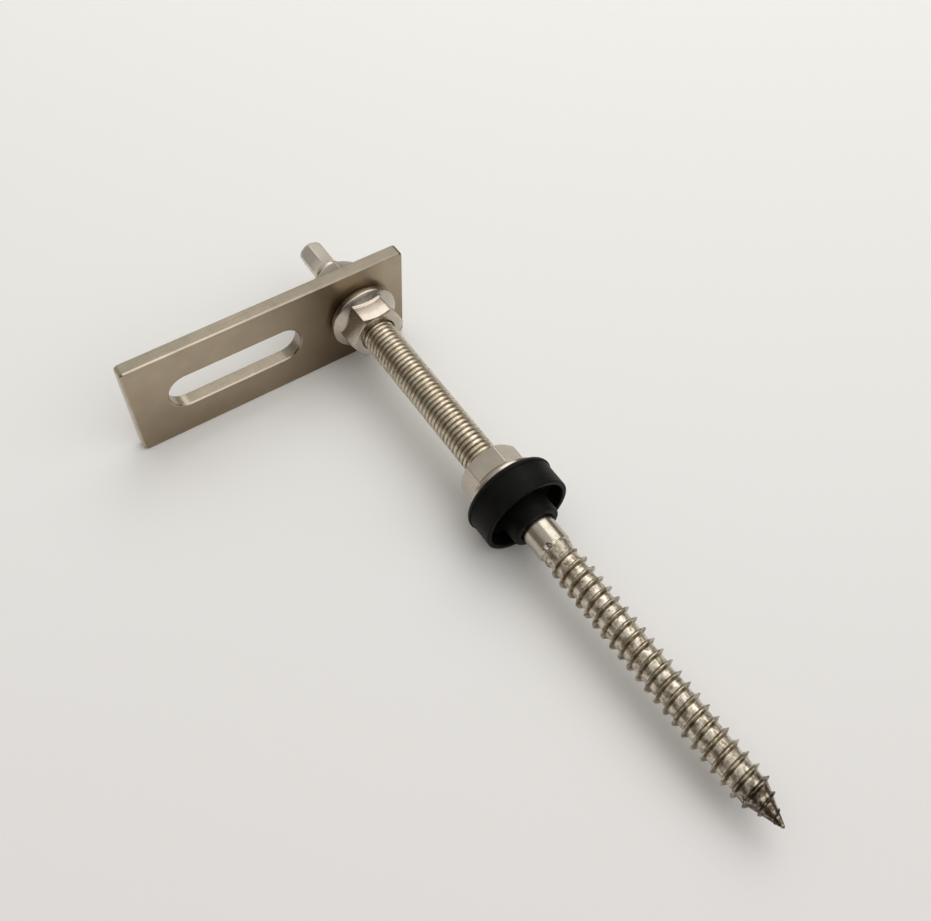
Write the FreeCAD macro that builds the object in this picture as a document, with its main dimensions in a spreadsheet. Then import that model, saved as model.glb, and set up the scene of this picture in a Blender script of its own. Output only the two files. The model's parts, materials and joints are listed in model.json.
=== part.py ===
import FreeCAD, Part
import math
import os

import Sketcher
from FreeCAD import Placement, Rotation, Vector

# A solar hanger bolt: a long double-threaded stud with a hexagon drive, an adapter plate clamped
# between two flange nuts, and a rubber roof seal pressed down by a third flange nut.
# It lies on a flat surface, as it comes to rest: on the plate's long edge and on the seal's lip.
# World frame: X along the length, Y along the plate, Z up, origin below the middle of the whole.

# Driving sizes in millimetres and degrees
SIZES = {
    # Stud: hexagon drive, metric thread M10, bare shank
    "drive_across_flats": 7,
    "drive_length": 10.6,
    "drive_end_radius": 3.2,
    "drive_base_radius": 4.2,
    "shoulder_length": 1,
    "stud_radius": 4.9,
    "stud_length": 92,
    "shank_radius": 4.55,
    "shank_length": 17.55,
    # Wood thread and its point
    "taper_length": 4.8,
    "root_radius": 3.6,
    "root_length": 67.9,
    "point_length": 8.95,
    "tip_radius": 0.3,
    "crest_radius": 4.8,
    "ridge_width": 1.9,
    "ridge_sink": 0.25,
    "thread_pitch": 3.2,
    "thread_setback": 1.5,
    "run_in_turns": 2,
    "run_in_angle": 4.4,
    "run_out_turns": 2,
    "run_out_angle": 21.5,
    "run_out_setback": 0.4,
    # Adapter plate with a round hole for the stud and a slot for the rail's screw
    "plate_length": 84.2,
    "plate_width": 32.3,
    "plate_thickness": 4,
    "plate_corner": 1,
    "plate_edge": 0.35,
    "hole_radius": 5.5,
    "hole_inset": 14.46,
    "slot_radius": 5.5,
    "slot_inset": 16.15,
    "slot_travel": 28.9,
    "plate_station": 28.95,
    # Flange nuts
    "nut_across_flats": 15,
    "nut_height": 10,
    "nut_end_radius": 7.2,
    "flange_radius": 10.5,
    "flange_rim": 1.9,
    "flange_height": 3.72,
    "flange_neck_radius": 7.2,
    "back_nut_turn": 30,
    "front_nut_turn": 0,
    "seal_nut_turn": 22,
    # Rubber seal, open below, with a lip above that holds its nut
    "seal_setback": 1,
    "recess_depth": 1.2,
    "lip_radius": 12.7,
    "lip_height": 1.9,
    "lip_top_radius": 11.1,
    "shoulder_radius": 12.4,
    "shoulder_height": 0.9,
    "skirt_radius": 12.3,
    "skirt_length": 9.2,
    "skirt_wall": 1.4,
    "web_thickness": 3,
    "collar_radius": 6.8,
    "collar_length": 13.2,
    # Clearances: nuts and seal over the thread, and the seal's recess round its nut's flange
    "nut_clearance": 0.05,
    "bore_clearance": 0.1,
    "recess_clearance": 0.15,
    # Turn of the stud about its own axis
    "stud_turn": -15,
}

# Slope of the turned chamfers on the drive and on the nuts' ends
CHAMFER_SLOPE = "tan(30)"

# How near two places lie that count as one
NEAR = 0.001

HEXAGON_SIDES = 6
FULL_TURN = 360

# Where a sketch's lines and arcs start out, before its dimensions move them
START_ACROSS = 20
START_UP = 16
START_RADIUS = 5
START_LENGTH = 30

# Stations along the stud from the end of its drive, each the sum of the lengths that lead up to it
STUD_END = ("drive_length", "shoulder_length", "stud_length")
TAPER_START = STUD_END + ("shank_length",)
ROOT_START = TAPER_START + ("taper_length",)
POINT_START = ROOT_START + ("root_length",)
TIP = POINT_START + ("point_length",)


def along(names):
    """The expression for a station."""
    return "(" + " + ".join(f"size.{name}" for name in names) + ")"


def reach(size, names):
    """A station's distance from the end of the drive."""
    return sum(getattr(size, name) for name in names)


def make_sheet(doc):
    """The sheet of driving sizes, one named cell for each."""
    sheet = doc.addObject("Spreadsheet::Sheet", "size")
    for row, (name, value) in enumerate(SIZES.items(), start=1):
        sheet.set(f"A{row}", name)
        sheet.set(f"B{row}", str(value))
        sheet.setAlias(f"B{row}", name)
    doc.recompute()
    return sheet


def origin_plane(body, role):
    """One of a body's own origin planes."""
    return [feature for feature in body.Origin.OriginFeatures if feature.Role == role][0]


def new_body(doc, label):
    body = doc.addObject("PartDesign::Body", label)
    body.Label = label
    return body


def new_sketch(body, name, role):
    sketch = body.newObject("Sketcher::SketchObject", name)
    sketch.AttachmentSupport = [(origin_plane(body, role), "")]
    sketch.MapMode = "FlatFace"
    return sketch


def bind(sketch, constraint, expression):
    """Add a dimension to a sketch and tie it to the sheet."""
    index = sketch.addConstraint(constraint)
    sketch.setExpression(f"Constraints[{index}]", expression)


def outline(sketch, corners):
    """A closed outline of straight sides; each corner is a pair of expressions, 0 for on the axis."""
    count = len(corners)
    turns = [math.tau * i / count for i in range(count)]
    spread = [Vector(START_ACROSS + START_RADIUS * math.cos(turn), START_UP + START_RADIUS * math.sin(turn), 0)
              for turn in turns]
    for i in range(count):
        sketch.addGeometry(Part.LineSegment(spread[i], spread[(i + 1) % count]), False)
    for i in range(count):
        sketch.addConstraint(Sketcher.Constraint("Coincident", i, 2, (i + 1) % count, 1))
    for i, (across, up) in enumerate(corners):
        if across == "0":
            sketch.addConstraint(Sketcher.Constraint("PointOnObject", i, 1, -2))
        else:
            bind(sketch, Sketcher.Constraint("DistanceX", -1, 1, i, 1, spread[i].x), across)
        if up == "0":
            sketch.addConstraint(Sketcher.Constraint("PointOnObject", i, 1, -1))
        else:
            bind(sketch, Sketcher.Constraint("DistanceY", -1, 1, i, 1, spread[i].y), up)


def hexagon(sketch, across_flats):
    """A regular hexagon about the axis, with its first corner on the sketch's own x axis."""
    turns = [math.tau * i / HEXAGON_SIDES for i in range(HEXAGON_SIDES)]
    corners = [Vector(math.cos(turn), math.sin(turn), 0) for turn in turns]
    for i in range(HEXAGON_SIDES):
        sketch.addGeometry(Part.LineSegment(corners[i], corners[(i + 1) % HEXAGON_SIDES]), False)
    circle = sketch.addGeometry(Part.Circle(Vector(0, 0, 0), Vector(0, 0, 1), 1), True)
    sketch.addConstraint(Sketcher.Constraint("Coincident", circle, 3, -1, 1))
    for i in range(HEXAGON_SIDES):
        sketch.addConstraint(Sketcher.Constraint("Coincident", i, 2, (i + 1) % HEXAGON_SIDES, 1))
        sketch.addConstraint(Sketcher.Constraint("PointOnObject", i, 1, circle))
    for i in range(1, HEXAGON_SIDES):
        sketch.addConstraint(Sketcher.Constraint("Equal", 0, i))
    sketch.addConstraint(Sketcher.Constraint("PointOnObject", 0, 1, -1))
    bind(sketch, Sketcher.Constraint("Radius", circle, 1), f"{across_flats} / sqrt(3)")


def turned(body, kind, name, corners):
    """A Revolution or a Groove of an outline about the body's x axis."""
    sketch = new_sketch(body, name + "_outline", "XY_Plane")
    outline(sketch, corners)
    feature = body.newObject("PartDesign::" + kind, name)
    feature.Profile = sketch
    feature.ReferenceAxis = (sketch, ["H_Axis"])
    feature.Angle = FULL_TURN
    return feature


def hexagon_pad(body, name, across_flats, length):
    sketch = new_sketch(body, name + "_outline", "YZ_Plane")
    hexagon(sketch, across_flats)
    pad = body.newObject("PartDesign::Pad", name)
    pad.Profile = sketch
    pad.setExpression("Length", length)
    return pad


def ridge(body, name, station, crest, turns, angle):
    """One stretch of the wood thread: a pointed ridge wound on a cylinder or a cone."""
    height = "(size.crest_radius - size.root_radius)"
    half = f"(size.ridge_width / 2 * ({height} + size.ridge_sink) / {height})"
    base = f"{crest} - {height} - size.ridge_sink"
    sketch = new_sketch(body, name + "_outline", "XZ_Plane")
    outline(sketch, [(f"{station} - {half}", base), (station, crest), (f"{station} + {half}", base)])
    helix = body.newObject("PartDesign::AdditiveHelix", name)
    helix.Profile = sketch
    helix.ReferenceAxis = (sketch, ["H_Axis"])
    helix.Mode = "pitch-turns-angle"
    helix.LeftHanded = False
    helix.Reversed = False
    helix.setExpression("Pitch", "size.thread_pitch")
    helix.setExpression("Turns", turns)
    helix.setExpression("Angle", angle)
    return helix


def round_hole(sketch, across, up, radius):
    start = Part.Circle(Vector(START_ACROSS, START_UP, 0), Vector(0, 0, 1), START_RADIUS)
    circle = sketch.addGeometry(start, False)
    bind(sketch, Sketcher.Constraint("DistanceX", -1, 1, circle, 3, START_ACROSS), across)
    bind(sketch, Sketcher.Constraint("DistanceY", -1, 1, circle, 3, START_UP), up)
    bind(sketch, Sketcher.Constraint("Radius", circle, START_RADIUS), radius)


def slot(sketch, first, last, up, radius):
    """A slot along the sketch's x axis, between two centres."""
    quarter = math.pi / 2
    near, far = START_ACROSS, START_ACROSS + START_LENGTH
    low_up, high_up = START_UP - START_RADIUS, START_UP + START_RADIUS
    near_end = Part.Circle(Vector(near, START_UP, 0), Vector(0, 0, 1), START_RADIUS)
    far_end = Part.Circle(Vector(far, START_UP, 0), Vector(0, 0, 1), START_RADIUS)
    left = sketch.addGeometry(Part.ArcOfCircle(near_end, quarter, 3 * quarter), False)
    low = sketch.addGeometry(Part.LineSegment(Vector(near, low_up, 0), Vector(far, low_up, 0)), False)
    right = sketch.addGeometry(Part.ArcOfCircle(far_end, -quarter, quarter), False)
    high = sketch.addGeometry(Part.LineSegment(Vector(far, high_up, 0), Vector(near, high_up, 0)), False)
    for one, other in ((left, low), (low, right), (right, high), (high, left)):
        sketch.addConstraint(Sketcher.Constraint("Tangent", one, 2, other, 1))
    sketch.addConstraint(Sketcher.Constraint("Equal", left, right))
    for end, start, across in ((left, near, first), (right, far, last)):
        bind(sketch, Sketcher.Constraint("DistanceX", -1, 1, end, 3, start), across)
        bind(sketch, Sketcher.Constraint("DistanceY", -1, 1, end, 3, START_UP), up)
    bind(sketch, Sketcher.Constraint("Radius", left, START_RADIUS), radius)


def named_edges(feature):
    return [(f"Edge{i}", edge) for i, edge in enumerate(feature.Shape.Edges, start=1)]


def lies_at(edge, station):
    """Whether an edge lies in the plane across x at a station."""
    box = edge.BoundBox
    return abs(box.XMin - station) < NEAR and abs(box.XMax - station) < NEAR


def is_corner(edge, box):
    """Whether an edge runs through the thickness at one of the plate's four outer corners."""
    middle = edge.CenterOfGravity
    at_end = min(abs(middle.y - box.YMin), abs(middle.y - box.YMax)) < NEAR
    at_side = min(abs(middle.z - box.ZMin), abs(middle.z - box.ZMax)) < NEAR
    return at_end and at_side


def is_outside(edge, box, corner):
    """Whether an edge runs along the plate's outer outline, round its corners included."""
    middle = edge.CenterOfGravity
    to_end = min(abs(middle.y - box.YMin), abs(middle.y - box.YMax))
    to_side = min(abs(middle.z - box.ZMin), abs(middle.z - box.ZMax))
    return min(to_end, to_side) < corner


def rounded(body, name, base, edges, radius):
    fillet = body.newObject("PartDesign::Fillet", name)
    fillet.Base = (base, edges)
    fillet.setExpression("Radius", radius)


def broken(body, name, base, edges, width):
    """Edges broken by a narrow bevel."""
    chamfer = body.newObject("PartDesign::Chamfer", name)
    chamfer.Base = (base, edges)
    chamfer.setExpression("Size", width)


def make_hanger_bolt(doc):
    """The stud, one piece: its x axis runs from the end of the hexagon drive to the tip."""
    body = new_body(doc, "hanger_bolt")
    turned(body, "Revolution", "blank", [
        ("size.drive_length", "0"),
        ("size.drive_length", "size.drive_base_radius"),
        ("size.drive_length + size.shoulder_length", "size.stud_radius"),
        (along(STUD_END), "size.stud_radius"),
        (along(STUD_END), "size.shank_radius"),
        (along(TAPER_START), "size.shank_radius"),
        (along(ROOT_START), "size.root_radius"),
        (along(POINT_START), "size.root_radius"),
        (along(TIP), "size.tip_radius"),
        (along(TIP), "0"),
    ])
    hexagon_pad(body, "drive", "size.drive_across_flats", "size.drive_length")
    turned(body, "Groove", "drive_chamfer", [
        ("0", "size.drive_end_radius"),
        (f"(size.drive_base_radius - size.drive_end_radius) / {CHAMFER_SLOPE}", "size.drive_base_radius"),
        ("0", "size.drive_base_radius"),
    ])
    full_end = f"({along(POINT_START)} - size.run_out_setback)"
    least_start = f"({along(TAPER_START)} + size.thread_setback + size.run_in_turns * size.thread_pitch)"
    full_turns = f"floor(({full_end} - {least_start}) / size.thread_pitch)"
    full = f"({full_end} - {full_turns} * size.thread_pitch)"
    tail = f"({full_end} + size.run_out_turns * size.thread_pitch)"
    fall = "size.run_out_turns * size.thread_pitch * tan(size.run_out_angle)"
    ridge(body, "run_in", full, "size.crest_radius", "size.run_in_turns", "size.run_in_angle")
    run_out = ridge(body, "run_out", tail, f"size.crest_radius - {fall}",
                    "size.run_out_turns", "size.run_out_angle")
    run_out.Reversed = True
    ridge(body, "full_thread", full, "size.crest_radius", full_turns, "0")
    return body


def make_adapter_plate(doc, size):
    """The stamped plate: x through its thickness, front face up; y along it, towards the stud's hole."""
    body = new_body(doc, "adapter_plate")
    sketch = new_sketch(body, "plate_outline", "YZ_Plane")
    outline(sketch, [
        ("0", "0"),
        ("size.plate_length", "0"),
        ("size.plate_length", "size.plate_width"),
        ("0", "size.plate_width"),
    ])
    round_hole(sketch, "size.plate_length - size.hole_inset", "size.plate_width / 2", "size.hole_radius")
    slot(sketch, "size.slot_inset", "size.slot_inset + size.slot_travel", "size.plate_width / 2",
         "size.slot_radius")
    pad = body.newObject("PartDesign::Pad", "plate")
    pad.Profile = sketch
    pad.setExpression("Length", "size.plate_thickness")
    doc.recompute()
    box = pad.Shape.BoundBox
    corners = [name for name, edge in named_edges(pad) if is_corner(edge, box)]
    rounded(body, "corners", pad, corners, "size.plate_corner")
    doc.recompute()
    front = [name for name, edge in named_edges(body.Tip)
             if lies_at(edge, pad.Length.Value) and is_outside(edge, box, size.plate_corner)]
    broken(body, "front_edges", body.Tip, front, "size.plate_edge")
    return body


def make_flange_nut(doc, label):
    """A flange nut: x from its bearing face to the end of its hexagon."""
    body = new_body(doc, label)
    hexagon_pad(body, label + "_hexagon", "size.nut_across_flats", "size.nut_height")
    outside = "size.nut_across_flats"
    turned(body, "Groove", label + "_chamfer", [
        ("size.nut_height", "size.nut_end_radius"),
        ("size.nut_height", outside),
        (f"size.nut_height - ({outside} - size.nut_end_radius) * {CHAMFER_SLOPE}", outside),
    ])
    turned(body, "Revolution", label + "_flange", [
        ("0", "0"),
        ("0", "size.flange_radius"),
        ("size.flange_rim", "size.flange_radius"),
        ("size.flange_height", "size.flange_neck_radius"),
        ("size.flange_height", "0"),
    ])
    bore = "size.stud_radius + size.nut_clearance"
    turned(body, "Groove", label + "_bore", [
        ("0", "0"),
        ("size.nut_height", "0"),
        ("size.nut_height", bore),
        ("0", bore),
    ])
    return body


def make_rubber_seal(doc):
    """The seal, one turned form: x from its lip, where the nut sits, to the end of its collar."""
    body = new_body(doc, "rubber_seal")
    recess = "size.flange_radius + size.recess_clearance"
    bore = "size.stud_radius + size.bore_clearance"
    ceiling = "size.recess_depth + size.web_thickness"
    turned(body, "Revolution", "seal", [
        ("size.recess_depth", bore),
        ("size.recess_depth", recess),
        ("0", recess),
        ("0", "size.lip_top_radius"),
        ("size.shoulder_height", "size.shoulder_radius"),
        ("size.lip_height", "size.lip_radius"),
        ("size.lip_height", "size.skirt_radius"),
        ("size.skirt_length", "size.skirt_radius"),
        ("size.skirt_length", "size.skirt_radius - size.skirt_wall"),
        (ceiling, "size.skirt_radius - size.skirt_wall"),
        (ceiling, "size.collar_radius"),
        ("size.collar_length", "size.collar_radius"),
        ("size.collar_length", bore),
    ])
    return body


def resting_placement(size):
    """Where the stud's own frame comes to lie, on the plate's long edge and the seal's lip.

    The plate's long edge starts at (x1, z1), behind its bevel, and the lip's edge lies at (x2, z2). The
    nose-down tilt t solves (x2 - x1) sin t = (z2 - z1) cos t, so that both are equally low.
    """
    plate_x = size.plate_station - size.plate_edge
    plate_z = -size.plate_width / 2
    lip_x = reach(size, STUD_END) - size.seal_setback - size.recess_depth + size.lip_height
    lip_z = -size.lip_radius
    tilt = math.atan2(lip_z - plate_z, lip_x - plate_x)
    last = reach(size, TIP) * math.cos(tilt) + size.tip_radius * math.sin(tilt)
    first = -size.drive_end_radius * math.sin(tilt)
    lowest = lip_z * math.cos(tilt) - lip_x * math.sin(tilt)
    middle_y = size.hole_inset - size.plate_length / 2
    shift = Vector(-(first + last) / 2, -middle_y, -lowest)
    return Placement(shift, Rotation(Vector(0, 1, 0), math.degrees(tilt)))


def on_stud(station, turn, towards_tip):
    """A place on the stud's axis, turned about it, facing the tip or the drive."""
    facing = Rotation(Vector(0, 0, 1), 0 if towards_tip else FULL_TURN / 2)
    return Placement(Vector(station, 0, 0), Rotation(Vector(1, 0, 0), turn) * facing)


def check(doc, bodies):
    """Stop if a feature failed or a sub-part is not one sound solid."""
    for item in doc.Objects:
        if "Invalid" in item.State or "Error" in item.State:
            raise RuntimeError(f"{item.Name} failed: {item.State}")
    for body in bodies:
        shape = body.Shape
        if shape.isNull() or not shape.isValid() or len(shape.Solids) != 1:
            raise RuntimeError(f"{body.Label} is not one sound solid")


def main():
    doc = FreeCAD.newDocument("solar_hanger_bolt")
    size = make_sheet(doc)
    bolt = make_hanger_bolt(doc)
    plate = make_adapter_plate(doc, size)
    back_nut = make_flange_nut(doc, "back_flange_nut")
    front_nut = make_flange_nut(doc, "front_flange_nut")
    seal_nut = make_flange_nut(doc, "seal_flange_nut")
    seal = make_rubber_seal(doc)
    doc.recompute()
    lie = resting_placement(size)
    back = size.plate_station - size.plate_thickness
    seat = reach(size, STUD_END) - size.seal_setback
    plate_corner = Vector(back, size.hole_inset - size.plate_length, -size.plate_width / 2)
    places = {
        bolt: on_stud(0, size.stud_turn, True),
        plate: Placement(plate_corner, Rotation()),
        back_nut: on_stud(back, size.back_nut_turn, False),
        front_nut: on_stud(size.plate_station, size.front_nut_turn, True),
        seal_nut: on_stud(seat, size.seal_nut_turn, False),
        seal: on_stud(seat - size.recess_depth, 0, True),
    }
    for body, place in places.items():
        body.Placement = lie * place
    doc.recompute()
    check(doc, places)
    os.makedirs("parts", exist_ok=True)
    for body in places:
        body.Shape.exportStep(f"parts/{body.Label}.step")


main()
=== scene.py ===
"""Solar hanger bolt: the dressed model, its studio and its camera.

Shapes are worked out in the stud's own frame, in millimetres: x runs along the stud from the end
of its hexagon drive to the wood tip, y along the plate, z square to both. place() carries them to
the frame of the model. Materials and the studio are in metres.
"""
import json
import math

import bmesh
import bpy
import numpy as np
from mathutils import Matrix, Vector


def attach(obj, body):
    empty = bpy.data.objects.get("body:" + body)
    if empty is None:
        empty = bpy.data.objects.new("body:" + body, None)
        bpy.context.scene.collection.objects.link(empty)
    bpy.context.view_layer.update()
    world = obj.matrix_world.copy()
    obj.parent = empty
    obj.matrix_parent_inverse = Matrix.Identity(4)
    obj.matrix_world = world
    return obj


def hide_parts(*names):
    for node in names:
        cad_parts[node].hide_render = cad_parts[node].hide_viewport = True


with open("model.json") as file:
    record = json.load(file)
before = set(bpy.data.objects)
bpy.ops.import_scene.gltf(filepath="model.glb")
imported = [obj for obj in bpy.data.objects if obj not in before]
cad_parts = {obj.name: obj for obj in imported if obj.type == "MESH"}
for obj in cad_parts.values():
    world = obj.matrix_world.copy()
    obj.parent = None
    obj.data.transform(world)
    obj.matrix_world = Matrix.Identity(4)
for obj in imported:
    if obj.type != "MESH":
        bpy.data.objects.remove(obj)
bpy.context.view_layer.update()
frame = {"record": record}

# The stud's frame, read from the mount on the end of its drive
drive_mount = [mount for mount in frame["record"]["mounts"] if mount["name"] == "hex_drive"][0]
STUD_START = np.array(drive_mount["pos_m"])
ALONG = -np.array(drive_mount["axis"], dtype=float)
ALONG = ALONG / np.linalg.norm(ALONG)
ACROSS = np.array([0.0, 1.0, 0.0])
SQUARE = np.cross(ALONG, ACROSS)
MM = 0.001
MERGE = 1e-6  # points closer than this are one, metres
TINY = 1e-9  # keeps a division from meeting 0
CORNER_DRAW = 0.13  # how far points round a hexagon are drawn towards its corners

# Stations along the stud, mm
THREAD_START = 11.6
PLATE_FRONT = 28.95
PLATE_THICKNESS = 4.0
PLATE_BACK = PLATE_FRONT - PLATE_THICKNESS
SEAL_SEAT = 102.6
THREAD_END = 103.6
STEP_START = 121.9
STEP_LENGTH = 0.5
ROOT_START = 125.95
POINT_START = 193.85
TIP = 202.8

# Hexagon drive: its dome rises as the root of the distance from its end
DRIVE_FLATS = 7.0
DRIVE_CORNER_ROUND = 0.55
DRIVE_TURN = math.radians(-15)
DRIVE_END_RADIUS = 3.2
DRIVE_END_SHARE = 0.98
DOME_STEP = 0.12
DOME_RISE = 0.62
FLARE_START = 8.8
FLARE_LENGTH = 2.2
DRIVE_COLUMNS = 22

# Machine thread; the widths of its crest and its flanks are shares of half the pitch
STUD_RADIUS = 4.9
STUD_PITCH = 1.5
STUD_DEPTH = 0.66
STUD_PHASE = 0.0
CREST_FLAT = 0.40
FLANK_WIDTH = 0.58
BLANK_SHARE = 0.45
BLANK_RADIUS = STUD_RADIUS - STUD_DEPTH * BLANK_SHARE
BLANK_TONE = 0.8
THREAD_LEAD = 0.8
RUN_IN_LEAD = 0.6
RUN_IN_LENGTH = 2.2
FLARE_GAP = 0.01
STUD_COLUMNS = 60

# Shank with its step, groove and pit
SHANK_LEAD = 1.5
SHANK_RADIUS = 4.55
SHANK_STEP = 0.3
GROOVE_STATION = 122.45
GROOVE_HALF = 0.32
GROOVE_DEPTH = 0.26
PIT_STATION = 122.0
PIT_ANGLE = math.radians(126)
PIT_RADIUS = 0.95
PIT_FLOOR = 0.45
PIT_DEPTH = 0.42

# Wood thread and point
ROOT_RADIUS = 3.6
CREST_RADIUS = 4.8
RIDGE_RISE = CREST_RADIUS - ROOT_RADIUS
RIDGE_HALF = 0.72
CREST_HALF = 0.11
FLANK_CURVE = 1.3
SEAM_DEPTH = 0.05
SEAM_HALF = 0.09
WOOD_PITCH = 3.2
WOOD_START = 122.38
RISE_TURNS = 2.0
RIDGE_END = TIP - 0.6
FALL_LEAD = 1.5
TIP_RADIUS = 0.3
TIP_BLUNT = 0.35
WOOD_COLUMNS = 84

# Adapter plate
PLATE_LENGTH = 84.2
PLATE_WIDTH = 32.3
PLATE_CORNER = 1.4
FRONT_ROUND = 0.2
FRONT_BEVEL = 0.42
BACK_ROUND = 0.4
HOLE_RADIUS = 5.5
HOLE_INSET = 14.46
SLOT_RADIUS = 5.5
SLOT_INSET = 16.15
SLOT_TRAVEL = 28.9
CORNER_STEPS = 7
SLOT_STEPS = 33
HOLE_STEPS = 60

# Flange nuts, from the bearing face at 0 to the end face
NUT_FLATS = 15.0
NUT_CORNER_ROUND = 0.35
NUT_HEIGHT = 10.3
NUT_END_RADIUS = 7.2
NUT_END_SLOPE = math.tan(math.radians(30))
NUT_BORE = 4.95
NUT_MOUTH = 5.45
BORE_CHAMFER = 0.3
BORE_MIDDLE = 5.0
BEARING_MIDDLE = 7.5
BEARING_RADIUS = 9.4
RIM_LIFT = 1.5
FLANGE_RADIUS = 10.25
FLANGE_RIM = 2.6
FLANGE_TOP = 4.4
FLANGE_NECK = 7.6
LAND = 0.9
BORE_ROUND = 0.1
BEARING_ROUND = 0.6
LIFT_ROUND = 0.5
RIM_ROUND = 0.6
NECK_ROUND = 1.1
SHOULDER_ROUND = 0.18
END_ROUND = 0.15
MOUTH_ROUND = 0.12
NUT_COLUMNS = 26

# Rubber seal: past its seat the skirt and the collar sag towards the tip
SEAL_BORE = 5.0
SEAL_GRIP = 4.75
SEAL_WEB = 3.0
SEAL_SAG = 0.3
SAG_START = -0.2
SAG_LENGTH = 3.0
SAG_RADIUS = 4.9
SEAL_COLUMNS = 144


def place(points):
    """Points of the stud's frame, in mm, carried to the frame of the model, in metres."""
    return STUD_START + (points @ np.stack([ALONG, ACROSS, SQUARE])) * MM


def polar(x, radius, angle):
    """Points at a distance from the stud's axis, with the angle measured from +y towards +z."""
    return np.stack(np.broadcast_arrays(x, radius * np.cos(angle), radius * np.sin(angle)), axis=-1)


def smooth_step(value):
    """0 below 0, 1 above 1, and the cubic 3v^2 - 2v^3 between."""
    value = np.clip(value, 0.0, 1.0)
    return value * value * (3.0 - 2.0 * value)


def fill_flat_ends(shell):
    """Fill between the open loops at each end of a shell, flat and in the first material."""
    rim = [edge for edge in shell.edges if edge.is_boundary]
    station = np.array([edge.verts[0].co for edge in rim]) @ ALONG
    ahead = station > station.mean()
    for side in (ahead, ~ahead):
        chosen = [edge for edge, inside in zip(rim, side) if inside]
        cap = bmesh.ops.triangle_fill(shell, edges=chosen, use_beauty=True)
        for face in cap["geom"]:
            if isinstance(face, bmesh.types.BMFace):
                face.material_index = 0


def make_piece(name, points, faces, materials, height=None, face_materials=None,
               flat_ends=False):
    """A mesh piece with merged doubles, closed holes and outward faces, riding on the body.

    Points that no face uses are dropped. A height at each point is kept as an attribute.
    """
    mesh = bpy.data.meshes.new(name)
    mesh.from_pydata(place(points).tolist(), [], [list(face) for face in faces])
    for material in materials:
        mesh.materials.append(material)
    if face_materials is not None:
        mesh.polygons.foreach_set("material_index", np.asarray(face_materials, dtype=np.int32))
    if height is not None:
        attribute = mesh.attributes.new("height", "FLOAT", "POINT")
        attribute.data.foreach_set("value", np.asarray(height, dtype=np.float32))
    shell = bmesh.new()
    shell.from_mesh(mesh)
    loose = [vertex for vertex in shell.verts if not vertex.link_faces]
    bmesh.ops.delete(shell, geom=loose, context="VERTS")
    bmesh.ops.remove_doubles(shell, verts=shell.verts, dist=MERGE)
    bmesh.ops.dissolve_degenerate(shell, dist=MERGE, edges=shell.edges)
    if flat_ends:
        fill_flat_ends(shell)
    bmesh.ops.holes_fill(shell, edges=shell.edges, sides=0)
    bmesh.ops.recalc_face_normals(shell, faces=shell.faces)
    shell.to_mesh(mesh)
    shell.free()
    mesh.polygons.foreach_set("use_smooth", np.ones(len(mesh.polygons), dtype=bool))
    piece = bpy.data.objects.new(name, mesh)
    bpy.context.scene.collection.objects.link(piece)
    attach(piece, "root")
    return piece


def band_faces(rows, columns, first=0):
    """Quads between successive closed rings of a grid of rows by columns."""
    row, column = np.meshgrid(np.arange(rows - 1), np.arange(columns), indexing="ij")
    after = (column + 1) % columns
    corner = first + row * columns + column
    side = first + row * columns + after
    return np.stack([corner, side, side + columns, corner + columns], axis=-1).reshape(-1, 4)


def turned(x, radius, columns):
    """A surface of revolution: each point of the profile swept once round the axis."""
    angle = np.arange(columns) * 2 * math.pi / columns
    points = polar(x[:, None], radius[:, None], angle[None, :]).reshape(-1, 3)
    return points, band_faces(len(x), columns)


def arc(centre_x, centre_r, radius, start, end, steps):
    """Points of an arc in a profile plane; the angle runs from +x towards +radius, in degrees."""
    angle = np.radians(np.linspace(start, end, steps))
    return np.stack([centre_x + radius * np.cos(angle), centre_r + radius * np.sin(angle)], axis=-1)


def corner_round(before, after, radius, steps):
    """Offsets from a corner that round it: an arc tangent to both directions, given in degrees."""
    one, other = math.radians(before), math.radians(after)
    turn = other - one
    tangent = radius * math.tan(abs(turn) / 2)
    side = math.copysign(1.0, turn)
    centre = np.array([-tangent * math.cos(one) - side * radius * math.sin(one),
                       -tangent * math.sin(one) + side * radius * math.cos(one)])
    angle = np.linspace(one, other, steps)
    return centre + side * radius * np.stack([np.sin(angle), -np.cos(angle)], axis=-1)


def wound(first, last, pitch, phase, offsets, radius, columns):
    """A surface wound round the axis like a thread.

    The strip of one pitch, from 0 to 1 across, runs along the unrolled angle; a point lies at
    x = phase + pitch (angle / turn + offset), held between first and last, at the radius there.
    radius takes x, the offset and the angle, and gives the distance and the height over the root.
    """
    across = len(offsets)
    turns = math.ceil((last - first) / pitch) + 2
    start = math.floor((first - phase) / pitch) - 1
    steps = columns * turns
    angle = (np.arange(steps + columns + 1) * 2 * math.pi / columns)[:, None]
    unheld = phase + pitch * (start + angle / (2 * math.pi) + offsets[None, :])
    x = np.clip(unheld, first, last)
    distance, height = radius(x, np.broadcast_to(offsets[None, :], x.shape), angle)
    points = polar(x, distance, angle).reshape(-1, 3)
    step, row = np.meshgrid(np.arange(steps), np.arange(across), indexing="ij")
    here = step * across + row
    above = np.where(row + 1 < across, here + 1, (step + columns) * across)
    above_next = np.where(row + 1 < across, here + across + 1, (step + 1 + columns) * across)
    faces = np.stack([here, here + across, above_next, above], axis=-1).reshape(-1, 4)
    corner_x = unheld.reshape(-1)[faces]
    outside = (corner_x <= first).all(axis=1) | (corner_x >= last).all(axis=1)
    return points, faces[~outside], height.reshape(-1)


# Materials

WHITE = (1.0, 1.0, 1.0)
CLOUDY = (0.3, 0.7)  # most of a noise lies in this range
NOISE_ROUGHNESS = 0.55

# The plate's steel gets painted light and shade within these ranges, along y, and painted shade
# down z
PAINTED_LIGHT_RANGE = (-0.030, 0.0396)
LOW_SHADE_RANGE = (0.026, 0.002)
STEEL_CLOUDS = 160.0

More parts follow.
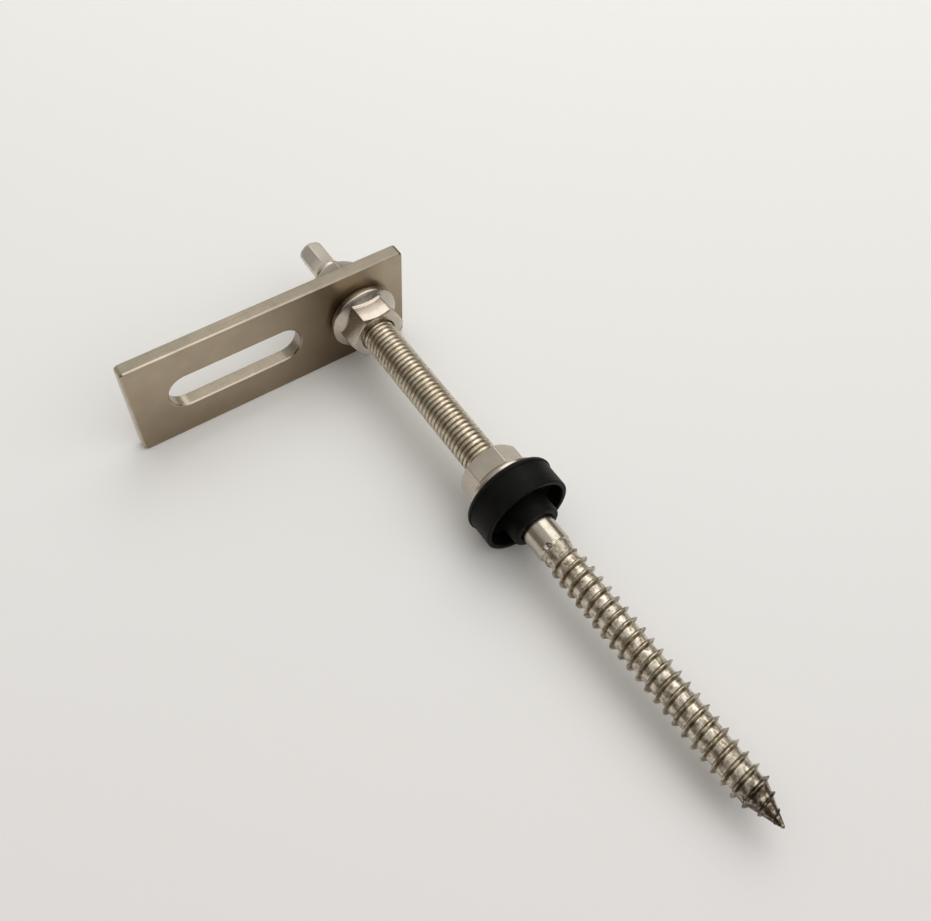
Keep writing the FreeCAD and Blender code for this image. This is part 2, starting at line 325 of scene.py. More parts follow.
# Threads: patches of the rolled steel, the smooth shank before the worked part, the dark point
PATCH_RANGE = (0.36, 0.56)
SHANK_TINT = (0.73, 0.73, 0.73, 1.0)
SHANK_RELIEF = 0.07
WORKED_DULLNESS = 0.13
STAIN_SLOPE = -1.6
STAIN_LEVEL = 1.3
STAIN_TONES = [(0.05, WHITE), (0.5, (0.22, 0.19, 0.17))]

# Tones by the height over a thread's root, from 0 to 1: painted shade darkens the lower flanks, and
# on the stud's thread the roots as well
STUD_PAINTED_SHADE_TONES = [(0.0, (0.21, 0.16, 0.10)), (0.22, (0.43, 0.37, 0.28)), (0.6, (0.62, 0.56, 0.46)),
              (1.0, (0.665, 0.605, 0.50))]
WOOD_PAINTED_SHADE_TONES = [(0.0, (0.70, 0.645, 0.55)), (0.03, (0.60, 0.54, 0.44)),
              (0.14, (0.33, 0.275, 0.195)), (0.5, (0.41, 0.36, 0.27)),
              (0.8, (0.62, 0.57, 0.465)), (1.0, (0.60, 0.555, 0.455))]

# Painted light along the plate, from its free end to its stud end; on the face, painted reflection
# and shade of the nut and stud, darkest near the stud
FACE_PAINTED_SHADE_TINTS = [(0.0, (1.0, 0.98, 0.96)), (0.38, (0.98, 0.955, 0.93)), (0.54, (0.84, 0.80, 0.76)),
              (0.66, (0.64, 0.595, 0.54)), (0.84, (0.62, 0.575, 0.53)),
              (0.95, (0.97, 0.95, 0.92))]
# On the edge, painted light and shade: lighter at the free end, darker towards the stud
EDGE_PAINTED_LIGHT_TINTS = [(0.0, (1.15, 1.15, 1.13)), (0.32, (1.05, 1.04, 1.02)), (0.5, (0.80, 0.79, 0.78)),
              (0.75, (0.64, 0.63, 0.62)), (1.0, (0.62, 0.62, 0.62))]

RUBBER_DARK = (0.003, 0.003, 0.003)
RUBBER_LIGHT = (0.007, 0.007, 0.006)
RUBBER_SPECULAR = 0.09
RUBBER_CLOUDS = 220.0
RUBBER_GRAIN = 1800.0
RUBBER_ROUGHNESS = (0.40, 0.55)
RUBBER_RELIEF = 0.00002


def new_material(name):
    """A material with its node tree and its shader."""
    material = bpy.data.materials.new(name)
    material.use_nodes = True
    return material, material.node_tree, material.node_tree.nodes["Principled BSDF"]


def add(tree, kind, **settings):
    """A new node of a kind, with its settings."""
    node = tree.nodes.new(kind)
    for key, value in settings.items():
        setattr(node, key, value)
    return node


def feed(tree, value, socket):
    """Link a socket to another node's output, or set it to a constant."""
    if isinstance(value, bpy.types.NodeSocket):
        tree.links.new(value, socket)
    else:
        socket.default_value = value


def object_coordinates(tree):
    """Coordinates of the piece itself, and their X, Y and Z."""
    coordinates = add(tree, "ShaderNodeTexCoord").outputs["Object"]
    return coordinates, parts(tree, coordinates)


def parts(tree, vector):
    """The X, Y and Z of a vector."""
    split = add(tree, "ShaderNodeSeparateXYZ")
    tree.links.new(vector, split.inputs["Vector"])
    return split.outputs


def noise(tree, coordinates, scale, detail=3.0, stretch=None):
    """A cloudy pattern, finer with scale (per metre), stretched where asked."""
    source = coordinates
    if stretch is not None:
        mapping = add(tree, "ShaderNodeMapping")
        mapping.inputs["Scale"].default_value = stretch
        tree.links.new(coordinates, mapping.inputs["Vector"])
        source = mapping.outputs["Vector"]
    cloud = add(tree, "ShaderNodeTexNoise")
    cloud.inputs["Scale"].default_value = scale
    cloud.inputs["Detail"].default_value = detail
    cloud.inputs["Roughness"].default_value = NOISE_ROUGHNESS
    tree.links.new(source, cloud.inputs["Vector"])
    return cloud.outputs["Fac"]


def ramp(tree, source, stops):
    """A colour ramp from a list of (place, colour)."""
    node = add(tree, "ShaderNodeValToRGB")
    elements = node.color_ramp.elements
    while len(elements) < len(stops):
        elements.new(1.0)
    for element, (where, colour) in zip(elements, stops):
        element.position = where
        element.color = (*colour, 1.0)
    tree.links.new(source, node.inputs["Fac"])
    return node.outputs["Color"]


def span(tree, source, low, high, from_low, from_high):
    """A value mapped from one range to another, and held within it."""
    node = add(tree, "ShaderNodeMapRange")
    node.inputs["From Min"].default_value = from_low
    node.inputs["From Max"].default_value = from_high
    node.inputs["To Min"].default_value = low
    node.inputs["To Max"].default_value = high
    tree.links.new(source, node.inputs["Value"])
    return node.outputs["Result"]


def step_between(tree, source, low, high):
    """0 below the lower value, 1 above the higher, and smooth between."""
    node = add(tree, "ShaderNodeMapRange", interpolation_type="SMOOTHSTEP")
    node.inputs["From Min"].default_value = low
    node.inputs["From Max"].default_value = high
    tree.links.new(source, node.inputs["Value"])
    return node.outputs["Result"]


def computed(tree, operation, *values):
    """The result of a math node, each value a socket or a constant."""
    node = add(tree, "ShaderNodeMath", operation=operation)
    for value, socket in zip(values, node.inputs):
        feed(tree, value, socket)
    return node.outputs["Value"]


def mixed(tree, factor, one, other, blend="MIX"):
    """Two colours mixed by a factor, each a socket or a constant."""
    node = add(tree, "ShaderNodeMix", data_type="RGBA", blend_type=blend)
    feed(tree, factor, node.inputs["Factor"])
    feed(tree, one, node.inputs["A"])
    feed(tree, other, node.inputs["B"])
    return node.outputs["Result"]


def times(tree, one, other):
    """Two colours multiplied."""
    return mixed(tree, 1.0, one, other, "MULTIPLY")


def bump(tree, shader, source, distance, strength=1.0):
    """A fine relief, scaled by a strength that may differ from place to place."""
    node = add(tree, "ShaderNodeBump")
    node.inputs["Distance"].default_value = distance
    feed(tree, strength, node.inputs["Strength"])
    tree.links.new(source, node.inputs["Height"])
    tree.links.new(node.outputs["Normal"], shader.inputs["Normal"])


def steel(name, light, dark, roughness, grain, relief, stretch=None, painted_light_stops=None, low_painted_shade=None):
    """Stainless steel: a warm grey metal, cloudy in colour and gloss, with a fine worked grain.

    The stops of rubbed are painted light and shade along the plate, and low_painted_shade is
    painted shade low down.
    """
    material, tree, shader = new_material(name)
    shader.inputs["Metallic"].default_value = 1.0
    coordinates, position = object_coordinates(tree)
    cloud = noise(tree, coordinates, STEEL_CLOUDS)
    tone = ramp(tree, cloud, [(CLOUDY[0], dark), (CLOUDY[1], light)])
    if painted_light_stops is not None:
        # painted light and shade along the plate, from the stops
        along = span(tree, position["Y"], 0.0, 1.0, *PAINTED_LIGHT_RANGE)
        tone = times(tree, tone, ramp(tree, along, painted_light_stops))
    if low_painted_shade is not None:
        # painted shade, darker low down
        low = span(tree, position["Z"], 0.0, 1.0, *LOW_SHADE_RANGE)
        tone = times(tree, tone, ramp(tree, low, [(0.0, WHITE), (1.0, low_painted_shade)]))
    feed(tree, tone, shader.inputs["Base Color"])
    fine = noise(tree, coordinates, grain, detail=4.0, stretch=stretch)
    feed(tree, span(tree, fine, *roughness, *CLOUDY), shader.inputs["Roughness"])
    bump(tree, shader, fine, relief)
    return material


def thread_steel(name, painted_shade_tones, mottle, shade, roughness, dents, worked=None, point=None):
    """Rolled steel of a thread: coloured by the height over the root with painted shade on the
    lower flanks, mottled, with small dents.

    The ranges worked and point are (start, end) along x. The steel is smooth before the first and
    rough after it, and it gets darker stains through the second.
    """
    material, tree, shader = new_material(name)
    shader.inputs["Metallic"].default_value = 1.0
    coordinates, position = object_coordinates(tree)
    height = add(tree, "ShaderNodeAttribute", attribute_name="height").outputs["Fac"]
    spots = noise(tree, coordinates, mottle)
    patches = ramp(tree, spots, [(PATCH_RANGE[0], shade), (PATCH_RANGE[1], WHITE)])
    gloss = span(tree, spots, roughness[1], roughness[0], *CLOUDY)
    relief = 1.0
    if worked is not None:
        relief = span(tree, position["X"], SHANK_RELIEF, 1.0, *worked)
        patches = mixed(tree, relief, SHANK_TINT, patches)
        gloss = computed(tree, "MULTIPLY_ADD", relief, WORKED_DULLNESS, gloss)
    # painted shade on the lower flanks, from the tones by height
    tone = times(tree, ramp(tree, height, painted_shade_tones), patches)
    if point is not None:
        stain = computed(tree, "MULTIPLY_ADD", spots, STAIN_SLOPE, STAIN_LEVEL)
        along = span(tree, position["X"], 0.0, 1.0, *point)
        stain = computed(tree, "MULTIPLY", stain, along)
        tone = times(tree, tone, ramp(tree, stain, STAIN_TONES))
    feed(tree, tone, shader.inputs["Base Color"])
    feed(tree, gloss, shader.inputs["Roughness"])
    bump(tree, shader, spots, dents, relief)
    return material


def rubber(name):
    """Black moulded rubber, faintly cloudy and dull."""
    material, tree, shader = new_material(name)
    shader.inputs["Specular IOR Level"].default_value = RUBBER_SPECULAR
    coordinates = add(tree, "ShaderNodeTexCoord").outputs["Object"]
    cloud = noise(tree, coordinates, RUBBER_CLOUDS)
    tone = ramp(tree, cloud, [(CLOUDY[0], RUBBER_DARK), (CLOUDY[1], RUBBER_LIGHT)])
    feed(tree, tone, shader.inputs["Base Color"])
    fine = noise(tree, coordinates, RUBBER_GRAIN, detail=5.0)
    feed(tree, span(tree, fine, *RUBBER_ROUGHNESS, *CLOUDY), shader.inputs["Roughness"])
    bump(tree, shader, fine, RUBBER_RELIEF)
    return material


STUD_STEEL = thread_steel("rolled_stud_steel", STUD_PAINTED_SHADE_TONES, mottle=700.0,
                          shade=(0.72, 0.67, 0.60), roughness=(0.25, 0.37), dents=0.00001)
WOOD_STEEL = thread_steel("rolled_wood_thread_steel", WOOD_PAINTED_SHADE_TONES, mottle=800.0,
                          shade=(0.42, 0.36, 0.28), roughness=(0.13, 0.28), dents=0.00017,
                          worked=(0.0195, 0.0235), point=(0.0872, 0.0938))
DRIVE_STEEL = steel("pressed_drive_steel", light=(0.64, 0.59, 0.52), dark=(0.56, 0.515, 0.45),
                    roughness=(0.28, 0.36), grain=900.0, relief=0.000004)
NUT_STEEL = steel("forged_nut_steel", light=(0.57, 0.515, 0.44), dark=(0.48, 0.43, 0.365),
                  roughness=(0.21, 0.29), grain=700.0, relief=0.000003)
# The plate's face gets painted reflection and shade of the nut and stud near the stud, and painted
# shade low down
PLATE_FACE_STEEL = steel("rolled_sheet_steel", light=(0.43, 0.365, 0.28),
                         dark=(0.385, 0.325, 0.245), roughness=(0.29, 0.36), grain=1800.0,
                         relief=0.000002, stretch=(1.0, 0.12, 1.0), painted_light_stops=FACE_PAINTED_SHADE_TINTS,
                         low_painted_shade=(0.72, 0.69, 0.65))
# The plate's edge gets painted light and shade along the plate
PLATE_EDGE_STEEL = steel("sheared_edge_steel", light=(0.44, 0.385, 0.312),
                         dark=(0.355, 0.31, 0.245), roughness=(0.24, 0.32), grain=2600.0,
                         relief=0.000010, stretch=(1.0, 0.03, 1.0), painted_light_stops=EDGE_PAINTED_LIGHT_TINTS)
SEAL_RUBBER = rubber("moulded_seal_rubber")


# Stud

def hexagon_radius(angle, across_flats, rounding):
    """Distance from the centre to a hexagon with rounded corners, in the direction of an angle.

    Within a corner's reach the ray meets the circle of the rounding, and elsewhere the flat side;
    corners lie at 0, 60, 120 and so on.
    """
    inner = across_flats / 2
    half_side = math.pi / 6
    turn = np.abs((angle + half_side) % (2 * half_side) - half_side)
    flat = inner / np.cos(half_side - turn)
    centre = (inner - rounding) / math.cos(half_side)
    reach = math.atan2(rounding * math.sin(half_side), centre + rounding * math.cos(half_side))
    under = np.maximum(rounding ** 2 - (centre * np.sin(turn)) ** 2, 0.0)
    rounded = centre * np.cos(turn) + np.sqrt(under)
    return np.where(turn < reach, rounded, flat)


def hexagon_angles(per_side):
    """Angles round a hexagon, drawn towards its corners by a sine of the place along the side."""
    middle = np.arange(per_side) / per_side
    eased = middle - CORNER_DRAW * np.sin(2 * math.pi * middle)
    return (np.arange(6)[:, None] * math.pi / 3 + eased[None, :] * math.pi / 3).reshape(-1)


def make_drive():
    """The hexagon drive: a pressed hexagon with a domed end, flaring out to the thread's blank.

    The first rows make the end face, at shares of its radius. The others keep the lesser of the
    hexagon's radius and the dome's, and a smooth step along the flare takes them to the blank's.
    """
    angle = hexagon_angles(DRIVE_COLUMNS)
    side = hexagon_radius(angle, DRIVE_FLATS, DRIVE_CORNER_ROUND)
    x = np.array([0.0, 0.0, 0.0, 0.06, 0.25, 0.7, 1.4, 2.4, 3.2, 6.0, FLARE_START, 9.3, 9.8, 10.3,
                  10.7, 11.1, 12.0])
    end_share = np.array([0.0, 0.5, 0.97, 1.0]) * DRIVE_END_SHARE
    dome = DRIVE_END_RADIUS + DOME_STEP + DOME_RISE * np.sqrt(x)
    radius = np.minimum(side[None, :], dome[:, None])
    radius[:len(end_share)] = np.minimum(side, DRIVE_END_RADIUS)[None, :] * end_share[:, None]
    flare = smooth_step((x - FLARE_START) / FLARE_LENGTH)[:, None]
    radius = radius * (1 - flare) + (BLANK_RADIUS - FLARE_GAP) * flare
    points = polar(x[:, None], radius, angle[None, :] + DRIVE_TURN).reshape(-1, 3)
    faces = band_faces(len(x), len(angle))
    return make_piece("hex_drive", points, faces, [DRIVE_STEEL])


def machine_radius(x, offset, angle):
    """A rolled metric thread that runs in from a plain blank.

    Its height over the root is 1 on the broad crest round offset 0, and falls by a smooth step
    across the flank to the narrow root at 0.5. Another smooth step cuts it into the blank.
    """
    away = np.abs((offset + 0.5) % 1.0 - 0.5) * 2.0
    height = 1.0 - smooth_step((away - CREST_FLAT) / FLANK_WIDTH)
    cut = smooth_step((x - THREAD_START + RUN_IN_LEAD) / RUN_IN_LENGTH)
    formed = STUD_RADIUS - STUD_DEPTH * (1.0 - height)
    return BLANK_RADIUS + (formed - BLANK_RADIUS) * cut, height * cut + BLANK_TONE * (1.0 - cut)


def make_machine_thread():
    """The stud's metric thread, one wound surface."""
    offsets = np.array([0.0, 0.05, 0.09, 0.14, 0.21, 0.29, 0.37, 0.44, 0.5, 0.56, 0.63, 0.71, 0.79,
                        0.86, 0.91, 0.95])
    points, faces, height = wound(THREAD_START - THREAD_LEAD, THREAD_END, STUD_PITCH, STUD_PHASE,
                                  offsets, machine_radius, STUD_COLUMNS)
    return make_piece("machine_thread", points, faces, [STUD_STEEL], height)


def core_radius(x):
    """Radius of the stud's core, from its shank to its point.

    The shank drops by a small smooth step, and then by a smooth cone to the root. The point tapers
    evenly, times the square root of the distance from the tip where it is blunt. A groove with
    even sides is cut beside the step.
    """
    step = SHANK_STEP * smooth_step((x - STEP_START) / STEP_LENGTH)
    slope = smooth_step((x - STEP_START - STEP_LENGTH) / (ROOT_START - STEP_START - STEP_LENGTH))
    cone = SHANK_RADIUS - step - (SHANK_RADIUS - SHANK_STEP - ROOT_RADIUS) * slope
    along = np.clip((x - POINT_START) / (TIP - POINT_START), 0.0, 1.0)
    blunt = np.sqrt(np.clip((TIP - x) / TIP_BLUNT, 0.0, 1.0))
    groove = GROOVE_DEPTH * np.clip(1.0 - np.abs(x - GROOVE_STATION) / GROOVE_HALF, 0.0, 1.0)
    return (cone + (TIP_RADIUS - ROOT_RADIUS) * along) * blunt - groove


def ridge_height(x):
    """Height of the wood thread over its core.

    It rises by a smooth step over the first turns and falls evenly along the point.
    """
    rise = smooth_step((x - WOOD_START) / (RISE_TURNS * WOOD_PITCH))
    fall = np.clip((RIDGE_END - x) / (RIDGE_END - POINT_START + FALL_LEAD), 0.0, 1.0)
    return RIDGE_RISE * rise * fall


def shank_pit(x, angle):
    """Depth of the small pit in the shank.

    It is full over the pit's floor and falls by a smooth step of the distance from its centre.
    """
    turn = (angle - PIT_ANGLE + math.pi) % (2 * math.pi) - math.pi
    away = np.hypot(x - PIT_STATION, turn * SHANK_RADIUS)
    wall = (away - PIT_RADIUS * PIT_FLOOR) / (PIT_RADIUS * (1.0 - PIT_FLOOR))
    return PIT_DEPTH * (1.0 - smooth_step(wall))


def wood_radius(x, offset, angle):
    """The core, less the pit, with a ridge wound on it.

    The ridge has a narrow crest at offset 0 with a shallow seam. Its concave flanks fall by a
    power of the way across them, down to a wide root between the turns.
    """
    away = np.abs((offset + 0.5) % 1.0 - 0.5) * WOOD_PITCH
    full = ridge_height(x)
    share = full / RIDGE_RISE
    half = CREST_HALF + (RIDGE_HALF - CREST_HALF) * share
    flank = np.clip((away - CREST_HALF) / (half - CREST_HALF + TINY), 0.0, 1.0)
    shape = (1.0 - flank) ** FLANK_CURVE
    seam = SEAM_DEPTH * np.clip(1.0 - away / SEAM_HALF, 0.0, 1.0)
    radius = core_radius(x) + full * shape - seam * share - shank_pit(x, angle)
    return radius, np.clip(shape * share, 0.0, 1.0)


def make_wood_thread():
    """Shank, wood thread and point, one wound surface."""
    half = np.array([0.0, 0.026, 0.041, 0.062, 0.085, 0.11, 0.138, 0.168, 0.194, 0.23, 0.29, 0.36,
                     0.43])
    offsets = np.concatenate([half, [0.5], 1.0 - half[:0:-1]])
    points, faces, height = wound(THREAD_END - SHANK_LEAD, TIP, WOOD_PITCH, WOOD_START, offsets,
                                  wood_radius, WOOD_COLUMNS)
    return make_piece("wood_thread", points, faces, [WOOD_STEEL], height)


# Nuts

def flange_nut_surface():
    """A flange nut as a closed profile that follows the hexagon as it turns.

    The rows go from the bore along the bearing face, round the rim, up the cone and its fillet, up
    the hexagon's flat, over the end chamfer, across the end face and back down the bore.
    """
    angle = hexagon_angles(NUT_COLUMNS)
    side = hexagon_radius(angle, NUT_FLATS, NUT_CORNER_ROUND)
    slope = (FLANGE_TOP - FLANGE_RIM) / (FLANGE_RADIUS - FLANGE_NECK)
    cone_way = math.degrees(math.atan2(-1.0, slope))
    under_way = math.degrees(math.atan2(FLANGE_RADIUS - BEARING_RADIUS, RIM_LIFT))
    chamfer_way = math.degrees(math.atan2(-1.0, NUT_END_SLOPE))
    foot = FLANGE_TOP + (FLANGE_NECK - side) * slope
    shoulder = NUT_HEIGHT - (side - NUT_END_RADIUS) * NUT_END_SLOPE
    ones = np.ones_like(side)
    rows = []

    def ring(x, radius):
        """One row of the profile."""
        rows.append((x * ones, radius * ones))

    def corner(x, radius, before, after, rounding, steps):
        """The rows of a rounded corner of the profile."""
        for across, out in corner_round(before, after, rounding, steps):
            rows.append((x * ones + across, radius * ones + out))

    ring(BORE_CHAMFER, NUT_BORE)
    corner(0.0, NUT_BORE + BORE_CHAMFER, 180, 90, BORE_ROUND, 2)
    ring(0.0, BEARING_MIDDLE)
    corner(0.0, BEARING_RADIUS, 90, under_way, BEARING_ROUND, 4)
    corner(RIM_LIFT, FLANGE_RADIUS, under_way, 0, LIFT_ROUND, 6)
    corner(FLANGE_RIM, FLANGE_RADIUS, 0, cone_way, RIM_ROUND, 6)
    ring(FLANGE_RIM + LAND * slope, FLANGE_RADIUS - LAND)
    corner(foot, side, cone_way, 0, NECK_ROUND, 9)
    ring((foot + shoulder) / 2, side)
    corner(shoulder, side, 0, chamfer_way, SHOULDER_ROUND, 5)
    corner(NUT_HEIGHT, NUT_END_RADIUS, chamfer_way, -90, END_ROUND, 4)
    ring(NUT_HEIGHT, NUT_MOUTH + LAND)
    corner(NUT_HEIGHT, NUT_MOUTH, -90, -135, MOUTH_ROUND, 4)
    ring(NUT_HEIGHT - NUT_MOUTH + NUT_BORE, NUT_BORE)
    ring(BORE_MIDDLE, NUT_BORE)
    x = np.array([row[0] for row in rows])
    radius = np.array([row[1] for row in rows])
    return x, radius, angle


def make_flange_nut(name, station, turn, towards_tip):
    """A flange nut at a station, facing the tip or the drive."""
    x, radius, angle = flange_nut_surface()
    way = 1.0 if towards_tip else -1.0
    points = polar(station + way * x, radius, angle[None, :] + math.radians(turn)).reshape(-1, 3)
    rows, columns = x.shape
    first = np.arange(columns)
    last = (rows - 1) * columns + first
    closing = np.stack([last, np.roll(last, -1), np.roll(first, -1), first], axis=-1)
    faces = np.vstack([band_faces(rows, columns), closing])
    piece = make_piece(name + "_dressed", points, faces, [NUT_STEEL])
    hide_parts(name)


# Adapter plate: loops in its plane, each row (y, z, normal y, normal z)

def round_end(centre_y, centre_z, radius, start, end, steps):
    """A loop's rows along an arc."""
    angle = np.radians(np.linspace(start, end, steps))
    out = np.stack([np.cos(angle), np.sin(angle)], axis=-1)
    return np.hstack([np.array([centre_y, centre_z]) + radius * out, out])


def rim_loop():
    """The plate's rim: four rounded corners, counter-clockwise."""
    middle = PLATE_WIDTH / 2
    corners = [(PLATE_LENGTH, middle, 0), (0.0, middle, 90), (0.0, -middle, 180),
               (PLATE_LENGTH, -middle, 270)]
    rounds = []
    for along, up, start in corners:
        centre_y = along - math.copysign(PLATE_CORNER, along - PLATE_LENGTH / 2)
        centre_z = up - math.copysign(PLATE_CORNER, up)
        rounds.append(round_end(centre_y, centre_z, PLATE_CORNER, start, start + 90, CORNER_STEPS))
    return np.vstack(rounds)


def slot_loop():
    """The slot's two round ends."""
    return np.vstack([
        round_end(SLOT_INSET + SLOT_TRAVEL, 0.0, SLOT_RADIUS, -90, 90, SLOT_STEPS),
        round_end(SLOT_INSET, 0.0, SLOT_RADIUS, 90, 270, SLOT_STEPS)])


def hole_loop():
    """The round hole for the stud."""
    last = 360 - 360 / HOLE_STEPS
    return round_end(PLATE_LENGTH - HOLE_INSET, 0.0, HOLE_RADIUS, 0, last, HOLE_STEPS)


def wall_profile():
    """The plate's cut edge, from its bevelled front to its round back: (x, depth inwards)."""
    face = np.array([PLATE_THICKNESS, FRONT_BEVEL])
    side = np.array([PLATE_THICKNESS - FRONT_BEVEL, 0.0])
    return np.vstack([corner_round(-90, -135, FRONT_ROUND, 4) + face,
                      corner_round(-135, -180, FRONT_ROUND, 4) + side,
                      corner_round(180, 90, BACK_ROUND, 6)])


def make_adapter_plate():
    """The stamped plate: its wall profile carried round rim, slot and hole, with flat faces."""
    profile = wall_profile()
    points, faces = [], []
    for loop, sense in ((rim_loop(), 1.0), (slot_loop(), -1.0), (hole_loop(), -1.0)):
        inward = sense * profile[:, 1, None]
        x = np.broadcast_to(PLATE_BACK + profile[:, 0, None], (len(profile), len(loop)))
        y = loop[None, :, 0] - inward * loop[None, :, 2] - (PLATE_LENGTH - HOLE_INSET)
        z = loop[None, :, 1] - inward * loop[None, :, 3]
        faces.append(band_faces(len(profile), len(loop), sum(len(part) for part in points)))
        points.append(np.stack([x, y, z], axis=-1).reshape(-1, 3))
    faces = np.vstack(faces)
    piece = make_piece("adapter_plate_dressed", np.vstack(points), faces,
                       [PLATE_FACE_STEEL, PLATE_EDGE_STEEL],
                       face_materials=np.ones(len(faces)), flat_ends=True)
    weighted = piece.modifiers.new("flat_faces", "WEIGHTED_NORMAL")
    weighted.mode = "FACE_AREA"
    weighted.weight = 100
    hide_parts("adapter_plate")


# Rubber seal

def make_rubber_seal():
    """The moulded seal, turned from one profile that starts and ends in its bore.

    The profile's points are (x from the seat, radius). All but those of the grip then move on by
    the sag, times a smooth step of x.
    """
    seat = [[SEAL_WEB, SEAL_BORE], [0.0, SEAL_BORE], [0.0, 8.0], [0.0, 10.52], [-0.65, 10.62]]
    lip = [arc(-0.7, 10.85, 0.2, 225, 120, 4), arc(0.75, 10.8, 1.95, 160, 100, 8),
           [[0.5, 12.72]], arc(0.6, 12.6, 0.1, 80, -10, 4)]
    skirt = [[[0.8, 12.36], [1.0, 12.3], [4.0, 12.28], [7.2, 12.26]],
             arc(7.5, 11.86, 0.4, 90, 0, 6), arc(7.5, 11.3, 0.4, 0, -90, 6)]
    hollow = [[[4.6, 10.85]], arc(3.6, 10.25, 0.6, 90, 180, 5), [[SEAL_WEB, 9.0]],
              arc(3.5, 7.35, 0.5, 180, 270, 5)]
    collar = [[[6.3, 6.8], [11.3, 6.65]], arc(11.55, 6.2, 0.4, 90, 0, 5), [[11.98, 5.4]],
              arc(11.7, SEAL_BORE, 0.25, 0, -90, 4)]
    bore = [[8.0, SEAL_GRIP], [3.2, SEAL_GRIP], [SEAL_WEB, SEAL_BORE]]
    profile = np.vstack([seat, *lip, *skirt, *hollow, *collar, bore])
    x, radius = profile[:, 0], profile[:, 1]
    x = x + SEAL_SAG * smooth_step((x - SAG_START) / SAG_LENGTH) * (radius > SAG_RADIUS)
    points, faces = turned(SEAL_SEAT + x, radius, SEAL_COLUMNS)
    piece = make_piece("rubber_seal_dressed", points, faces, [SEAL_RUBBER])
    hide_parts("rubber_seal")


# Studio

# The floor's painted light: its tones go from darker near to lighter far, along the way that the
# camera looks
FLOOR_REACH = 3.0
FLOOR_ROUGHNESS = 0.6
FLOOR_WAY = (-0.816, 0.578, 0.0)
FLOOR_RANGE = (-0.09, 0.27)
FLOOR_PAINTED_LIGHT_TONES = [(0.0, (0.85, 0.835, 0.835)), (0.34, (0.89, 0.885, 0.875)),
               (1.0, (0.945, 0.945, 0.92))]

# The room's tones by the upward part of a direction, and by its part from -x to +x
ROOM_TONES = [(0.0, (0.07, 0.055, 0.04)), (0.22, (0.09, 0.075, 0.055)), (0.5, (0.22, 0.20, 0.17)),
              (0.65, (0.38, 0.365, 0.34)), (0.78, (0.56, 0.55, 0.52)), (0.9, (0.64, 0.63, 0.61)),
              (1.0, (0.58, 0.575, 0.56))]
HORIZON_TONES = [(0.0, (0.72, 0.705, 0.67)), (0.14, (0.68, 0.665, 0.63)),
                 (0.22, (0.22, 0.195, 0.155)), (0.35, (0.24, 0.215, 0.175)),
                 (0.55, (0.07, 0.055, 0.04))]
GLOW_TONES = [(0.0, (0.70, 0.69, 0.66)), (0.14, (0.66, 0.65, 0.62)), (0.24, (0.0, 0.0, 0.0))]
HORIZON_FADE = (0.3, 0.62)
BRIGHT_SIDE = (1.9, 1.89, 1.86, 1.0)
BRIGHT_X = (0.02, 0.55)
BRIGHT_Z = (0.22, 0.6)
BRIGHT_Y = (-0.45, 0.1)

LAMP_PLACE = (-0.41, 0.61, 1.02)
LAMP_TARGET = (-0.02, 0.0, 0.0)
LAMP_SIZE = 1.0
LAMP_POWER = 4.3
LAMP_COLOUR = (1.0, 0.985, 0.96)

# Camera, as fitted to the photograph: place in metres, angles in degrees
CAMERA_PLACE = (0.118192, -0.068870, 0.227153)
CAMERA_AZIMUTH = 54.718
CAMERA_ELEVATION = 53.058
CAMERA_ROLL = 1.299
CAMERA_LENS = 39.733
SENSOR_WIDTH = 36.0
CLIP_START = 0.01


def make_floor():
    """A wide pale sheet that the part lies on, with painted light that makes it a little lighter
    far off.
    """
    mesh = bpy.data.meshes.new("studio_floor")
    reach = FLOOR_REACH
    corners = [(-reach, -reach, 0.0), (reach, -reach, 0.0), (reach, reach, 0.0),
               (-reach, reach, 0.0)]
    mesh.from_pydata(corners, [], [(0, 1, 2, 3)])
    material, tree, shader = new_material("pale_paper")
    distance = add(tree, "ShaderNodeVectorMath", operation="DOT_PRODUCT")
    tree.links.new(add(tree, "ShaderNodeTexCoord").outputs["Object"], distance.inputs[0])
    distance.inputs[1].default_value = FLOOR_WAY
    share = span(tree, distance.outputs["Value"], 0.0, 1.0, *FLOOR_RANGE)
    # painted light: the floor lighter far off
    feed(tree, ramp(tree, share, FLOOR_PAINTED_LIGHT_TONES), shader.inputs["Base Color"])
    shader.inputs["Roughness"].default_value = FLOOR_ROUGHNESS
    mesh.materials.append(material)
    floor = bpy.data.objects.new("studio_floor", mesh)
    bpy.context.scene.collection.objects.link(floor)


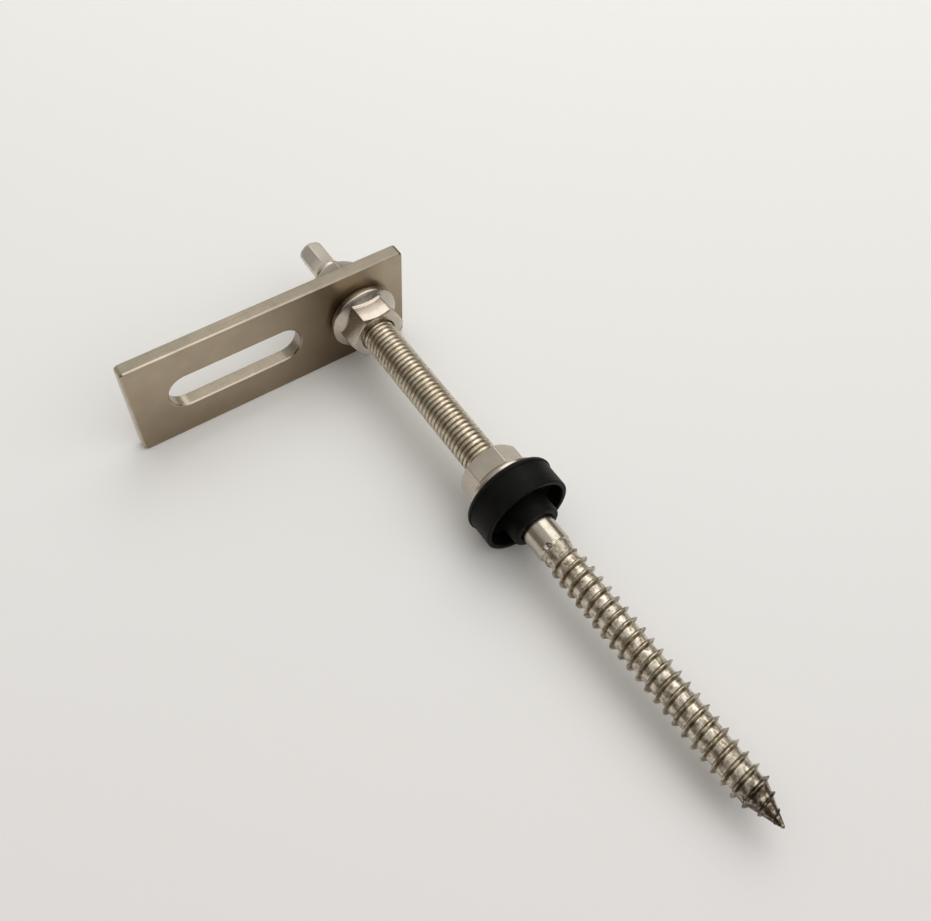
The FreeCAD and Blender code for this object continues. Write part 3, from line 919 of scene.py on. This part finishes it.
def make_world():
    """A soft room: mid bright overhead, dim and warm at the horizon, and light at its -x end.

    A wide bright side stands high up behind the camera, on its right.
    """
    world = bpy.data.worlds.new("soft_room")
    world.use_nodes = True
    bpy.context.scene.world = world
    tree = world.node_tree
    way = parts(tree, add(tree, "ShaderNodeTexCoord").outputs["Generated"])
    along = span(tree, way["X"], 0.0, 1.0, -1.0, 1.0)
    lifted = step_between(tree, way["Z"], *HORIZON_FADE)
    walls = mixed(tree, lifted, ramp(tree, along, HORIZON_TONES), ramp(tree, way["Z"], ROOM_TONES))
    walls = mixed(tree, 1.0, walls, ramp(tree, along, GLOW_TONES), "LIGHTEN")
    bright = computed(tree, "MULTIPLY", step_between(tree, way["X"], *BRIGHT_X),
                      step_between(tree, way["Z"], *BRIGHT_Z))
    bright = computed(tree, "MULTIPLY", bright, step_between(tree, way["Y"], *BRIGHT_Y))
    background = tree.nodes["Background"]
    background.inputs["Strength"].default_value = 1.0
    feed(tree, mixed(tree, bright, walls, BRIGHT_SIDE), background.inputs["Color"])


def make_lamp():
    """A square soft box that faces its target."""
    light = bpy.data.lights.new("key_soft_box", "AREA")
    light.size = LAMP_SIZE
    light.energy = LAMP_POWER
    light.color = LAMP_COLOUR
    lamp = bpy.data.objects.new("key_soft_box", light)
    away = Vector(LAMP_PLACE) - Vector(LAMP_TARGET)
    turn = away.to_track_quat("Z", "Y").to_matrix().to_4x4()
    lamp.matrix_world = Matrix.Translation(LAMP_PLACE) @ turn
    bpy.context.scene.collection.objects.link(lamp)


def make_camera():
    """The camera at the photograph's viewing angle."""
    azimuth, elevation = math.radians(CAMERA_AZIMUTH), math.radians(CAMERA_ELEVATION)
    forward = Vector((-math.sin(azimuth) * math.cos(elevation),
                      math.cos(azimuth) * math.cos(elevation), -math.sin(elevation)))
    level = forward.cross(Vector((0.0, 0.0, 1.0))).normalized()
    upright = level.cross(forward)
    roll = math.radians(CAMERA_ROLL)
    right = level * math.cos(roll) + upright * math.sin(roll)
    up = right.cross(forward)
    data = bpy.data.cameras.new("photo_camera")
    data.sensor_fit = "HORIZONTAL"
    data.sensor_width = SENSOR_WIDTH
    data.lens = CAMERA_LENS
    data.clip_start = CLIP_START
    camera = bpy.data.objects.new("photo_camera", data)
    turn = Matrix((right, up, -forward)).transposed().to_4x4()
    camera.matrix_world = Matrix.Translation(CAMERA_PLACE) @ turn
    bpy.context.scene.collection.objects.link(camera)
    bpy.context.scene.camera = camera


stud = [make_drive(), make_machine_thread(), make_wood_thread()]
for piece in stud:
    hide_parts("hanger_bolt")
make_adapter_plate()
make_flange_nut("back_flange_nut", PLATE_BACK, 30, False)
make_flange_nut("front_flange_nut", PLATE_FRONT, 0, True)
make_flange_nut("seal_flange_nut", SEAL_SEAT, 22, False)
make_rubber_seal()

make_floor()
make_world()
make_lamp()
make_camera()
bpy.context.scene.view_settings.view_transform = "Standard"
